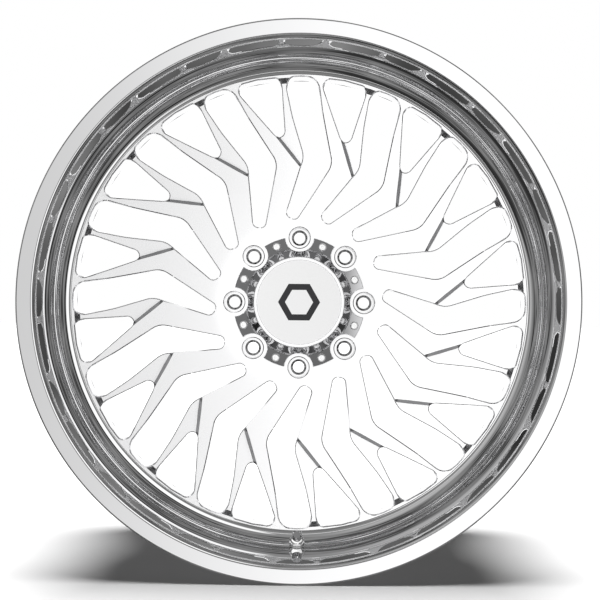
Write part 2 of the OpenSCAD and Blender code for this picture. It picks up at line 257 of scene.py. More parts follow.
def back(xy):
    """Height of the inboard face."""
    r = np.hypot(xy[:, 0], xy[:, 1])
    z = face_z(np.minimum(r, back_end)) - face_t
    drop = disc_back - (face_z(back_end) - face_t)
    return z + drop * np.clip((r - back_end) / (joint_start - back_end), 0, 1)


def front_normals(xy):
    """Normals of the face, easing from the flat pad into the spokes."""
    r = np.hypot(xy[:, 0], xy[:, 1])
    before_pad, width = 9, 24
    ease = np.clip((r - pad_r + before_pad) / width, 0, 1)
    slope = face_slope(np.maximum(r, pad_r + 0.01)) * ease * ease * (3 - 2 * ease)
    return unit(np.stack([-slope * xy[:, 0] / r, -slope * xy[:, 1] / r, np.ones(len(r))], -1))


# ------------------------------------------------------------------ mesh building
SATIN, MIRROR, MILLED_AND_SHADED = 0, 1, 2                # a face's finish, as its place in the piece's materials; the milled one also carries painted shade
SHARP, STEEP = 0.985, 0.9                      # cosines at which a sheet creases, and at which it is milled and painted dark as shade
NO_SPOTS = np.zeros((0, 2))


class Shell:
    """Collects faces over shared points, each corner with its own normal."""

    def __init__(self):
        self.index, self.points, self.faces, self.normals = {}, [], [], []
        self.finish, self.finishes = SATIN, []

    def point(self, p):
        """Number of a point. Points within a thousandth of a millimetre are one."""
        key = tuple(round(float(c), 3) for c in p)
        if key not in self.index:
            self.index[key] = len(self.points)
            self.points.append(tuple(float(c) for c in p))
        return self.index[key]

    def face(self, corners, normals):
        """One face, wound the way its normals point."""
        ids = [self.point(p) for p in corners]
        kept = [i for i in range(len(ids)) if ids[i] != ids[i - 1]]
        if len(set(ids[i] for i in kept)) < 3:
            return
        p = [self.points[ids[i]] for i in kept]
        u = [a - b for a, b in zip(p[1], p[0])]
        v = [a - b for a, b in zip(p[-1], p[0])]
        facing = (u[1] * v[2] - u[2] * v[1], u[2] * v[0] - u[0] * v[2], u[0] * v[1] - u[1] * v[0])
        if sum(a * b for a, b in zip(facing, normals[kept[0]])) < 0:
            kept.reverse()
        self.faces.append([ids[i] for i in kept])
        self.normals += [tuple(normals[i]) for i in kept]
        self.finishes.append(self.finish)

    def strip(self, a, b, na, nb):
        """Quads between closed loops a and b, whose normals point to the right of a -> b."""
        n = len(a)
        for i in range(n):
            j = (i + 1) % n
            self.face([a[i], a[j], b[j], b[i]], [na[i], na[j], nb[j], nb[i]])

    def lathe(self, runs, n, centre=(0.0, 0.0)):
        """Turned surface from runs of (r, z, normal r, normal z), clockwise seen from outboard."""
        angles = np.radians(360 * np.arange(n) / n)
        s, c = np.sin(angles), np.cos(angles)
        for run in runs:
            rings = []
            for r, z, nr, nz in run:
                ring = np.stack([centre[0] + r * s, centre[1] + r * c, np.full(n, z)], -1)
                rings.append((ring, np.stack([nr * s, nr * c, np.full(n, nz)], -1)))
            for (a, na), (b, nb) in zip(rings, rings[1:]):
                self.strip(a, b, na, nb)

    def sheet(self, loops, creases, spots, keep, height, normal, up, finish=SATIN):
        """Fills the area between loops with triangles whose middle `keep` accepts.

        Its edges follow the loops and creases, and it passes through the spots. Functions of the
        points give the height and the normal, and up is 1 or -1. Where it turns steep, it is milled and painted
        dark as shade.
        """
        verts, edges = [], []
        for loop in loops:
            first, n = len(verts), len(loop)
            verts += [Vector(p) for p in loop]
            edges += [(first + i, first + (i + 1) % n) for i in range(n)]
        for crease in creases:
            first = len(verts)
            verts += [Vector(p) for p in crease]
            edges += [(first + i, first + i + 1) for i in range(len(crease) - 1)]
        verts += [Vector(p) for p in spots]
        out, _, tris, _, _, _ = delaunay_2d_cdt(verts, edges, [], 0, 1e-5, False)
        xy = np.array([tuple(v) for v in out])
        tris = np.array(tris)
        tris = tris[keep(xy[tris].mean(1))]
        xyz = np.column_stack([xy, height(xy)])
        smooth = normal(xy)
        flat = np.cross(xyz[tris[:, 1]] - xyz[tris[:, 0]], xyz[tris[:, 2]] - xyz[tris[:, 0]])
        sign = np.sign(flat[:, 2]) * up
        flat = flat * sign[:, None] / np.maximum(np.linalg.norm(flat, axis=1)[:, None], 1e-12)
        for t, s, f in zip(tris, sign, flat):
            order = t if s > 0 else t[::-1]
            own = [smooth[i] if smooth[i] @ f > SHARP else f for i in order]
            # steep faces take the dark milled material: its milling marks are real, its dark colour is painted
            # shade
            self.finish = MILLED_AND_SHADED if f @ smooth[order[0]] < STEEP else finish
            self.face([xyz[i] for i in order], own)

    def build(self, name, materials, body, stands_for):
        """Makes the piece, in place of a CAD node, and lets it ride on a body."""
        mesh = bpy.data.meshes.new(name)
        mesh.from_pydata(self.points, [], self.faces)
        for look in materials:
            mesh.materials.append(look)
        mesh.polygons.foreach_set("material_index", self.finishes)
        mesh.normals_split_custom_set([Vector(n).normalized() for n in self.normals])
        mesh.transform(Matrix.Scale(MM, 4) @ STAND)
        mesh.validate()
        piece = bpy.data.objects.new(name, mesh)
        bpy.context.scene.collection.objects.link(piece)
        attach(piece, body)
        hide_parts(stands_for)


def line(p, q):
    """Straight run of a section, with its normal on the right."""
    p, q = np.array(p, float), np.array(q, float)
    d = (q - p) / np.linalg.norm(q - p)
    return [(*p, d[1], -d[0]), (*q, d[1], -d[0])]


def bend(c, r, a, b, n):
    """Round run of a section about c, from angle a to b in degrees, with its normal on the right."""
    s = 1 if b > a else -1
    t = np.radians(a + (b - a) * np.arange(n + 1) / n)
    return [(c[0] + r * math.cos(x), c[1] + r * math.sin(x), s * math.cos(x), s * math.sin(x)) for x in t]


def path(*points):
    """Straight runs through points."""
    return [line(a, b) for a, b in zip(points, points[1:])]


def softened(points, radii, n):
    """Runs through points with the inner corners rounded to the radii given."""
    p = [np.array(q, float) for q in points]
    runs, start = [], p[0]
    for i in range(1, len(p) - 1):
        u = (p[i] - p[i - 1]) / np.linalg.norm(p[i] - p[i - 1])
        v = (p[i + 1] - p[i]) / np.linalg.norm(p[i + 1] - p[i])
        turn = math.acos(max(-1, min(1, float(u @ v))))
        r = radii[i - 1]
        if turn < 1e-6 or r == 0:
            runs.append(line(start, p[i]))
            start = p[i]
            continue
        side = 1 if u[0] * v[1] - u[1] * v[0] > 0 else -1
        a = p[i] - u * r * math.tan(turn / 2)
        centre = a + side * r * np.array([-u[1], u[0]])
        first = math.degrees(math.atan2(*(a - centre)[::-1]))
        runs.append(line(start, a))
        arc = bend(centre, r, first, first + side * math.degrees(turn), n)
        runs.append(arc)
        start = np.array(arc[-1][:2])
    runs.append(line(start, p[-1]))
    return runs


# ------------------------------------------------------------------ materials
def material(name, colour, metallic, roughness):
    """A material with its node tree and shader."""
    m = bpy.data.materials.new(name)
    m.use_nodes = True
    shader = m.node_tree.nodes["Principled BSDF"]
    shader.inputs["Base Color"].default_value = (*colour, 1)
    shader.inputs["Metallic"].default_value = metallic
    shader.inputs["Roughness"].default_value = roughness
    return m, m.node_tree, shader


def node(tree, kind, **settings):
    n = tree.nodes.new(kind)
    for key, value in settings.items():
        setattr(n, key, value)
    return n


def about_axis(tree):
    """Object coordinates, plain and as (radius, angle, depth) round the spin axis."""
    coords = node(tree, "ShaderNodeTexCoord")
    parts = node(tree, "ShaderNodeSeparateXYZ")
    tree.links.new(coords.outputs["Object"], parts.inputs[0])
    square = [node(tree, "ShaderNodeMath", operation="MULTIPLY") for _ in range(2)]
    for s, axis in zip(square, ("X", "Z")):
        tree.links.new(parts.outputs[axis], s.inputs[0])
        tree.links.new(parts.outputs[axis], s.inputs[1])
    total = node(tree, "ShaderNodeMath", operation="ADD")
    tree.links.new(square[0].outputs[0], total.inputs[0])
    tree.links.new(square[1].outputs[0], total.inputs[1])
    radius = node(tree, "ShaderNodeMath", operation="SQRT")
    tree.links.new(total.outputs[0], radius.inputs[0])
    angle = node(tree, "ShaderNodeMath", operation="ARCTAN2")
    tree.links.new(parts.outputs["X"], angle.inputs[0])
    tree.links.new(parts.outputs["Z"], angle.inputs[1])
    out = node(tree, "ShaderNodeCombineXYZ")
    for source, socket in ((radius.outputs[0], 0), (angle.outputs[0], 1), (parts.outputs["Y"], 2)):
        tree.links.new(source, out.inputs[socket])
    return coords.outputs["Object"], out.outputs[0]


def stretched(tree, vector, scale):
    """The vector, with each of its parts scaled by its own number."""
    m = node(tree, "ShaderNodeMapping")
    m.inputs["Scale"].default_value = scale
    tree.links.new(vector, m.inputs["Vector"])
    return m.outputs[0]


def spread(tree, value, low, high):
    """The value, from 0 to 1, spread from low to high."""
    m = node(tree, "ShaderNodeMapRange")
    m.inputs["To Min"].default_value = low
    m.inputs["To Max"].default_value = high
    tree.links.new(value, m.inputs["Value"])
    return m.outputs[0]


def noise(tree, vector, scale, detail):
    n = node(tree, "ShaderNodeTexNoise")
    n.inputs["Scale"].default_value = scale
    n.inputs["Detail"].default_value = detail
    tree.links.new(vector, n.inputs["Vector"])
    return n.outputs["Fac"]


def bumped(tree, shader, height, distance):
    b = node(tree, "ShaderNodeBump")
    b.inputs["Distance"].default_value = distance
    tree.links.new(height, b.inputs["Height"])
    tree.links.new(b.outputs["Normal"], shader.inputs["Normal"])


def lathe_rings(tree, shader, polar, per_metre, depth):
    """Fine rings round the spin axis, broken up a little on their way round."""
    rings = noise(tree, stretched(tree, polar, (per_metre, 1.5, per_metre)), scale=1.0, detail=2.0)
    bumped(tree, shader, rings, depth)


def turned_metal(name, colour, rough):
    """Metal finished on a lathe: very fine rings round the spin axis, and cloudy gloss."""
    m, tree, shader = material(name, colour, 1.0, rough[0])
    plain, polar = about_axis(tree)
    cloud = noise(tree, plain, scale=9.0, detail=4.0)
    tree.links.new(spread(tree, cloud, *rough), shader.inputs["Roughness"])
    lathe_rings(tree, shader, polar, per_metre=700.0, depth=5e-7)
    return m


def mirror_metal(name, dull, bright):
    """Metal polished to a mirror: faint clouds left by the mop, and hairline rings from the lathe."""
    m, tree, shader = material(name, bright, 1.0, 0.0)
    plain, polar = about_axis(tree)
    mix = node(tree, "ShaderNodeMix", data_type="RGBA")
    mix.inputs["A"].default_value = (*dull, 1)
    mix.inputs["B"].default_value = (*bright, 1)
    tree.links.new(noise(tree, plain, scale=11.0, detail=5.0), mix.inputs["Factor"])
    tree.links.new(mix.outputs["Result"], shader.inputs["Base Color"])
    lathe_rings(tree, shader, polar, per_metre=260.0, depth=1.5e-7)
    return m


def brushed_metal(name, colour, rough, scale):
    """Metal finished with a fine abrasive, its marks as long and as fine as the scale says."""
    m, tree, shader = material(name, colour, 1.0, rough[0])
    plain, _ = about_axis(tree)
    cloud = noise(tree, plain, scale=14.0, detail=4.0)
    tree.links.new(spread(tree, cloud, *rough), shader.inputs["Roughness"])
    marks = noise(tree, stretched(tree, plain, scale), scale=1.0, detail=3.0)
    bumped(tree, shader, marks, distance=4e-7)
    return m


def rubber(name, colour, rough):
    """Moulded rubber with a fine grain."""
    m, tree, shader = material(name, colour, 0.0, rough[0])
    plain, _ = about_axis(tree)
    grain = noise(tree, plain, scale=1800.0, detail=3.0)
    tree.links.new(spread(tree, grain, *rough), shader.inputs["Roughness"])
    bumped(tree, shader, grain, distance=2e-5)
    return m


# marks per metre along X, Y and Z
BRUSHED, BEADED, GROUND, MACHINED = (40.0, 40.0, 900.0), (300.0,) * 3, (400.0,) * 3, (500.0,) * 3
BARREL = mirror_metal("polished_barrel", (0.88, 0.88, 0.885), (0.92, 0.92, 0.925))
FACE = turned_metal("polished_face", (0.95, 0.95, 0.955), (0.24, 0.32))
# milled step walls: the fine marks are real milling, the dark base colour is painted shade that stands in for
# the dark the steep walls reflect
MILL_AND_SHADE = brushed_metal("milled_step_painted_shade", (0.20, 0.20, 0.205), (0.2, 0.4), MACHINED)
CAP = mirror_metal("cap_billet", (0.62, 0.62, 0.63), (0.74, 0.74, 0.75))
CAP_TOP = turned_metal("cap_turned_edge", (0.95, 0.95, 0.955), (0.26, 0.34))
BADGE = brushed_metal("satin_badge", (0.80, 0.80, 0.80), (0.30, 0.38), BRUSHED)
DARK = brushed_metal("dark_emblem", (0.045, 0.045, 0.047), (0.35, 0.5), BRUSHED)
STEEL = brushed_metal("screw_steel", (0.93, 0.93, 0.93), (0.28, 0.38), BEADED)
NUT = brushed_metal("valve_nut_plating", (0.93, 0.93, 0.93), (0.16, 0.24), MACHINED)
VALVE = mirror_metal("valve_metal", (0.84, 0.84, 0.85), (0.90, 0.90, 0.91))
RUBBER = rubber("seal_rubber", (0.010, 0.010, 0.011), (0.5, 0.8))
BRASS = brushed_metal("core_brass", (0.72, 0.52, 0.22), (0.2, 0.35), GROUND)


# ------------------------------------------------------------------ rim barrel
def rim_barrel():
    """The turned rim: lip, wall, shoulder, well, bead seats and both flanges."""
    flange_t, seat_w, seat_rise = 13.0, 24.0, 2.0
    hump_h, hump_w = 1.2, 4.0                  # the hump's slopes are as wide as its crown
    seat_z = half_w - flange_t - seat_w
    face_r = od_r - 8                          # the flat lip face reaches this far
    lip = (wall_r + wall_t, half_w - wall_t)   # centre of the round between lip face and wall
    arc_steps, lip_steps, inner_steps = 5, 12, 6

    def tyre_side(sign):
        """Tyre side of one flange, from the barrel out to the lip face."""
        points = [(tyre_r, seat_z - 3 * hump_w), (tyre_r + hump_h, seat_z - 2 * hump_w),
                  (tyre_r + hump_h, seat_z - hump_w), (tyre_r, seat_z),
                  (tyre_r + seat_rise, half_w - flange_t), (od_r, half_w - flange_t),
                  (od_r, half_w), (face_r, half_w)]
        radii = [1.5, 1.5, 2, 5, 4, 2]
        if sign > 0:
            return softened(points, radii, arc_steps)
        return softened([(r, -z) for r, z in points[::-1]], radii[::-1], arc_steps)

    # the drop well, inside the barrel and on the tyre side: each slope's start and end
    drop_out, drop_in = (disc_back, disc_back - 22), (-82, -108)
    well_out, well_in = (disc_back - 4, disc_back - 28), (-90, -118)

    runs = [line((face_r, half_w), (lip[0], half_w)), bend(lip, wall_t, 90, 180, lip_steps)]
    runs += softened([(wall_r, lip[1]), (wall_r, drop_out[0]), (well_in_r, drop_out[1]),
                      (well_in_r, drop_in[0]), (wall_r, drop_in[1]), (wall_r, -half_w), (face_r, -half_w)],
                     [4, 8, 20, 20, 5], inner_steps)
    runs += tyre_side(-1)
    runs += softened([(tyre_r, 3 * hump_w - seat_z), (tyre_r, well_in[1]), (well_r, well_in[0]),
                      (well_r, well_out[1]), (tyre_r, well_out[0]), (tyre_r, seat_z - 3 * hump_w)],
                     [10, 8, 8, 10], arc_steps)
    runs += tyre_side(1)
    shell = Shell()
    shell.lathe(runs, RIM_SIDES)
    shell.build("rim_barrel_polished", [BARREL], "wheel", "rim_barrel")


# ------------------------------------------------------------------ forged centre
def with_crossings(outer, inner, lines):
    """Adds to two matching loops the places where the outer one crosses the lines."""
    tiny = 1e-4
    new_outer, new_inner, hits = [], [], {k: [] for k in range(len(lines))}
    n = len(outer)
    for i in range(n):
        a, b = outer[i], outer[(i + 1) % n]
        c, d = inner[i], inner[(i + 1) % n]
        found = []
        for k, crease in enumerate(lines):
            for p, q in zip(crease, crease[1:]):
                t = crossing(a, b, p, q)
                if t is not None:
                    found.append((t, k))
        new_outer.append(a)
        new_inner.append(c)
        for t, k in sorted(found):
            if tiny < t < 1 - tiny:
                new_outer.append(a + (b - a) * t)
                new_inner.append(c + (d - c) * t)
                hits[k].append(new_outer[-1])
            else:
                hits[k].append(a if t < 0.5 else b)
    return np.array(new_outer), np.array(new_inner), hits


def trimmed(crease, start, end):
    """A crease cut to run between two points on it, with none of its own points close to them."""
    d, clear = np.linalg.norm, 0.3
    travel = np.concatenate([[0], np.cumsum([d(b - a) for a, b in zip(crease, crease[1:])])])

    def place(p):
        best = min(range(len(crease) - 1),
                   key=lambda i: d(crease[i] - p) + d(crease[i + 1] - p) - d(crease[i + 1] - crease[i]))
        return travel[best] + d(p - crease[best])

    lo, hi = sorted([(place(start), 0), (place(end), 1)])
    first, last = (start, end) if lo[1] == 0 else (end, start)
    return [first] + [c for c, s in zip(crease, travel) if lo[0] + clear < s < hi[0] - clear] + [last]


def flat_z(z):
    """A height function for a level sheet."""
    return lambda xy: np.full(len(xy), z)


def up_normals(sign):
    """A normal function for a level sheet that looks up (1) or down (-1)."""
    return lambda xy: np.tile([0.0, 0.0, float(sign)], (len(xy), 1))


def raised(loop, z):
    """The points of a loop at one height, or each at its own."""
    return np.column_stack([loop, np.broadcast_to(z, len(loop))])


def arm_creases():
    """Lines along the step and the wall of a lowered arm, which run on past its edges."""
    past_ends = np.array([[-0.18], [1.12]])    # as parts of the step's own length
    top_line = STEP[0] + past_ends * (STEP[1] - STEP[0])
    foot_line = top_line + step_side * arm_wall
    arcs = [at(np.arange(13.0, 24.1, 0.5), r) for r in arm_end]
    return [list(top_line), list(foot_line)] + [list(a) for a in arcs]


def first_sector():
    """Windows of one sector, as (chamfered, true) loops, and the creases between them."""
    lines = arm_creases()
    windows, ends = [], {k: [] for k in range(len(lines))}
    for loop in (BOOMERANG, TRIANGLE):
        wide, loop, hits = with_crossings(loop + outward(loop) * edge, loop, lines)
        windows.append((wide, loop))
        for k, found in hits.items():
            ends[k].append(found)

    creases = []
    for k, crease in enumerate(lines):
        from_boomerang, from_triangle = ends[k]
        if from_boomerang and from_triangle:
            _, i, j = min((np.linalg.norm(p - q), i, j) for i, p in enumerate(from_boomerang)
                          for j, q in enumerate(from_triangle))
            creases.append(trimmed(crease, from_triangle[j], from_boomerang[i]))
    return windows, creases


def grid(loops, gap):
    """Even points over the centre's sheet, kept clear of its loops and creases."""
    fixed = np.concatenate([np.asarray(x) for x in loops])
    stagger, clear, batch = 7.3, 0.45 * gap, 400   # degrees per millimetre, millimetres, points
    spots = []
    for r in np.arange(bore_r + 5, seam_r - 1, gap):
        n = int(round(2 * math.pi * r / gap / spokes)) * spokes
        spots.append(circle(r, n, start=(r * stagger) % sector))
    spots = np.concatenate(spots)
    far = np.ones(len(spots), bool)
    for i in range(0, len(spots), batch):
        far[i:i + batch] = np.linalg.norm(spots[i:i + batch, None] - fixed[None], axis=2).min(1) > clear
    return spots[far]


def forged_centre():
    """The spoked centre: a sheet with windows, their walls, the hub's holes and the turned ring."""
    shell = Shell()
    windows, creases = first_sector()
    rear_z = pad_z - face_t
    lug_at = [at(360 * k / lugs, lug_circle) for k in range(lugs)]
    screw_at = [at(360 * (k + 0.5) / lugs, screw_circle) for k in range(lugs)]

    def keep_clear_of(holes):
        def keep(mid):
            both, r = folded(mid)
            ok = (r < seam_r) & (r > bore_r + edge)
            for q in both:
                for wide, _ in windows:
                    ok &= ~inside(wide, q)
            for centre, radius in holes:
                ok &= np.linalg.norm(mid - centre, axis=1) > radius
            return ok
        return keep

    bounds = [circle(seam_r, RING_SIDES), circle(bore_r + edge, BORE_SIDES)]
    bounds += [spin(wide, sector * k) for k in range(spokes) for wide, _ in windows]
    creases = [spin(c, sector * k) for k in range(spokes) for c in creases]

    loops = bounds + [circle(pocket_r + pocket_edge, LUG_SIDES, c) for c in lug_at]
    loops += [circle(screw_r + screw_edge, SCREW_SIDES, c) for c in screw_at]
    holes = [(c, pocket_r + pocket_edge) for c in lug_at] + [(c, screw_r + screw_edge) for c in screw_at]
    spots = grid(loops + creases, gap=6.0)
    shell.sheet(loops, creases, spots, keep_clear_of(holes), front, front_normals, 1)

    loops = bounds + [circle(lug_r + lug_edge, LUG_SIDES, c) for c in lug_at]
    holes = [(c, lug_r + lug_edge) for c in lug_at]
    spots = grid(loops, gap=9.0)
    shell.sheet(loops, [], spots, keep_clear_of(holes), back, lambda xy: -front_normals(xy), -1)

    # chamfers and walls of the windows
    for k in range(spokes):
        for wide, loop in windows:
            wide, loop = spin(wide, sector * k), spin(loop, sector * k)
            wall, up = raised(-outward(loop), 0.0), front_normals(wide)
            levels = [raised(wide, front(wide)), raised(loop, front(loop) - edge),
                      raised(loop, back(loop) + edge), raised(wide, back(wide))]
            for i, finish, n in ((0, MIRROR, unit(wall + up)), (1, SATIN, wall), (2, MIRROR, unit(wall - up))):
                shell.finish = finish
                shell.strip(levels[i], levels[i + 1], n, n)

    # lug holes: chamfered pocket, flat, cone and through hole
    floor_z = pad_z - pocket_h
    pocket = path((pocket_r + pocket_edge, pad_z), (pocket_r, pad_z - pocket_edge), (pocket_r, floor_z),
                  (lug_r + cone_w, floor_z), (lug_r, floor_z - cone_h), (lug_r, rear_z + lug_edge),
                  (lug_r + lug_edge, rear_z))
    flat = pocket[2]
    for centre in lug_at:
        for run in pocket:
            shell.finish = SATIN if run is flat else MIRROR
            shell.lathe([run], LUG_SIDES, centre)
    blind = path((screw_r + screw_edge, pad_z), (screw_r, pad_z - screw_edge), (screw_r, pad_z - screw_h),
                 (0.0, pad_z - screw_h - drill_tip))
    for centre in screw_at:
        shell.lathe(blind, SCREW_SIDES, centre)

    # hub bore, and the turned ring with its fillet
    shell.lathe(path((bore_r + edge, pad_z), (bore_r, pad_z - edge), (bore_r, rear_z + edge),
                     (bore_r + edge, rear_z)), BORE_SIDES)
    land = math.radians(75)                    # the fillet stops here, short of a feather edge
    land_r = ring_r + fillet_r * math.sin(land)
    land_z = ring_z + fillet_r * (1 - math.cos(land))
    slope = float(face_slope(np.array([seam_r]))[0])
    tangent = (-slope / math.hypot(1, slope), 1 / math.hypot(1, slope))
    shell.lathe([bend((ring_r, ring_z + fillet_r), fillet_r, -15, -90, 20),
                 [(ring_r, ring_z, *tangent), (seam_r, float(face_z(np.array([seam_r]))[0]), *tangent)]],
                RING_SIDES)
    joint_r = wall_r - 0.05                    # just inside the barrel's wall
    shell.lathe(path((seam_r, float(back(np.array([[0, seam_r]]))[0])), (joint_start, disc_back),
                     (joint_r, disc_back), (joint_r, land_z), (land_r, land_z)), RING_SIDES)
    shell.build("forged_centre_polished", [FACE, BARREL, MILL_AND_SHADE], "wheel", "forged_centre")


# ------------------------------------------------------------------ centre cap
def cap_outline():
    """Rim of the ears and scallops, and which of its points the dome stands over."""
    def scallop_angle(r):
        """Where the scallop round a lug crosses a radius, as an angle about the lug."""
        cosine = (lug_circle ** 2 + scallop_r ** 2 - r ** 2) / (2 * lug_circle * scallop_r)
        return math.degrees(math.acos(cosine))

    ear, foot = scallop_angle(ear_r), scallop_angle(foot_r)
    tip = math.degrees(math.asin(scallop_r * math.sin(math.radians(ear)) / ear_r))
    turns = np.concatenate([np.linspace(ear, foot, 12), np.linspace(foot, -foot, 17)[1:-1],
                            np.linspace(-foot, -ear, 12)])
    points, under = [], []
    for k in range(lugs):
        lug = 360 * k / lugs
        points += [at(lug, lug_circle) + at(lug + 180 + t, scallop_r) for t in turns]
        rim = np.linspace(lug + tip, lug + 360 / lugs - tip, 16)[1:-1]
        points += list(at(rim, ear_r))
        under += [abs(t) < foot + 1e-6 for t in turns] + [False] * len(rim)
    return np.array(points), np.array(under)


def cap_body():
    """The billet cap: a tapered dome on eight ears, all scalloped round the lug pockets."""
    shell = Shell()
    gap = 0.02                                 # kept open to the pad and to the screws' heads
    base, ear_top = pad_z + gap, pad_z + ear_t - gap
    bevel, rim_edge, groove_edge = 0.6, 1.0, 0.4
    outline, under = cap_outline()
    out = outward(outline)
    top = outline - out * np.where(under, 0.0, bevel)[:, None]
    holes = [circle(ear_hole_r, EAR_HOLE_SIDES, at(360 * (k + 0.5) / lugs, screw_circle)) for k in range(lugs)]

    # columns of the dome: each starts at the foot, or where a scallop ends it
    columns, facing = [], []
    per_lug = len(outline) // lugs
    half = abs(math.degrees(math.atan2(*outline[under][0])))
    for k in range(lugs):
        own = slice(k * per_lug, (k + 1) * per_lug)
        lug = 360 * k / lugs
        ring = at(np.linspace(lug + half, lug + 360 / lugs - half, 22)[1:-1], foot_r)
        columns += list(outline[own][under[own]]) + list(ring)
        facing += list(out[own][under[own]]) + list(ring / foot_r)
    columns, facing = np.array(columns), raised(np.array(facing), 0.0)

    def away_from_holes(wanted):
        def keep(mid):
            ok = wanted(mid)
            for h in holes:
                ok &= ~inside(h, mid)
            return ok
        return keep

    # tops, bevels and sides of the ears
    keep = away_from_holes(lambda mid: inside(top, mid) & ~inside(columns, mid))
    shell.sheet([top, columns] + holes, [], NO_SPOTS, keep, flat_z(ear_top), up_normals(1), 1, MIRROR)
    shell.finish = MIRROR
    wall = raised(out, 0.0)
    slant = unit(wall + np.where(under, 0.0, 1.0)[:, None] * [0, 0, 1])
    shell.strip(raised(top, ear_top), raised(outline, ear_top - bevel), slant, slant)
    shell.strip(raised(outline, ear_top - bevel), raised(outline, base), wall, wall)

    # the dome's side, from the foot up to the rim
    side = softened([(foot_r, ear_top), (foot_r - 2, ear_top + 2), (cap_r + 0.4, cap_top - 4.2),
                     (cap_r, cap_top - rim_edge)], [2.0, 1.0], 5)
    profile = np.array([q for run in side for q in run])[::-1]
    start = np.hypot(columns[:, 0], columns[:, 1])
    way = columns / start[:, None]
    levels = []
    for part in (0, 0.04, 0.08, 0.12, 0.17, 0.24, 0.35, 0.5, 0.65, 0.8, 0.9, 0.95, 0.98, 1):
        r = start + (cap_r - start) * part
        z, nr, nz = (np.interp(r, profile[:, 0], profile[:, i]) for i in (1, 2, 3))
        levels.append((raised(way * r[:, None], z), raised(way * nr[:, None], nz)))
    shell.strip(raised(columns, ear_top), levels[0][0], facing, facing)
    for (low, low_n), (high, high_n) in zip(levels, levels[1:]):
        shell.strip(low, high, low_n, high_n)

    # underside, and the screws' holes
    keep = away_from_holes(lambda mid: inside(outline, mid) & (np.linalg.norm(mid, axis=1) > hollow_r))
    shell.sheet([outline, circle(hollow_r, CAP_SIDES)] + holes, [], NO_SPOTS, keep, flat_z(base),
                up_normals(-1), -1)
    for k in range(lugs):
        shell.lathe(path((ear_hole_r, ear_top), (ear_hole_r, base)), EAR_HOLE_SIDES,
                    at(360 * (k + 0.5) / lugs, screw_circle))

    # turned rim with the badge's recess, and the hollow
    shell.finish = SATIN
    recess_z, hollow_z = cap_top - recess_h, pad_z + hollow_h
    for run in path((cap_r, cap_top - rim_edge), (cap_r - rim_edge, cap_top), (recess_r + groove_edge, cap_top),
                    (recess_r, cap_top - groove_edge), (recess_r, recess_z), (0.0, recess_z)):
        (p, n), (q, m) = [(raised(way * r, z), raised(way * nr, nz)) for r, z, nr, nz in run]
        shell.strip(p, q, n, m)
    shell.lathe(path((0.0, hollow_z), (hollow_r, hollow_z), (hollow_r, base)), CAP_SIDES)
    shell.build("cap_body_billet", [CAP_TOP, CAP], "centre_cap", "cap_body")


# ------------------------------------------------------------------ pieces
rim_barrel()
forged_centre()
cap_body()
for name, look in (("cap_badge", BADGE), ("cap_emblem", DARK), ("valve_stem", VALVE),
                   ("valve_washer", VALVE), ("valve_nut", NUT), ("valve_cap", VALVE),
                   ("valve_grommet", RUBBER), ("valve_outer_seal", RUBBER), ("valve_core_gasket", RUBBER),
                   ("valve_core_seal", RUBBER), ("valve_cap_seal", RUBBER), ("valve_core_body", BRASS),
                   ("valve_core_pin", BRASS), ("valve_core_spring", STEEL),
                   *[(f"cap_screw_{i}", STEEL) for i in range(1, 9)]):
    slots = frame["nodes"][name].data.materials
    slots.clear()
    slots.append(look)


# ------------------------------------------------------------------ stage
def stage():
    """A plain floor just under the wheel. The soft light is strong, so it shows pale."""
    size, clearance, albedo = 30.0, 0.0005, 0.08       # metres, metres, share of light
    corners = [(-size, -size, 0), (size, -size, 0), (size, size, 0), (-size, size, 0)]
    floor_mesh = bpy.data.meshes.new("floor")
    floor_mesh.from_pydata(corners, [], [(0, 1, 2, 3)])
    floor_mesh.materials.append(material("pale_floor", (albedo,) * 3, 0.0, 0.8)[0])
    floor = bpy.data.objects.new("floor", floor_mesh)
    floor.location.z = cad_box[0].z - clearance
    floor.visible_glossy = False
    bpy.context.scene.collection.objects.link(floor)


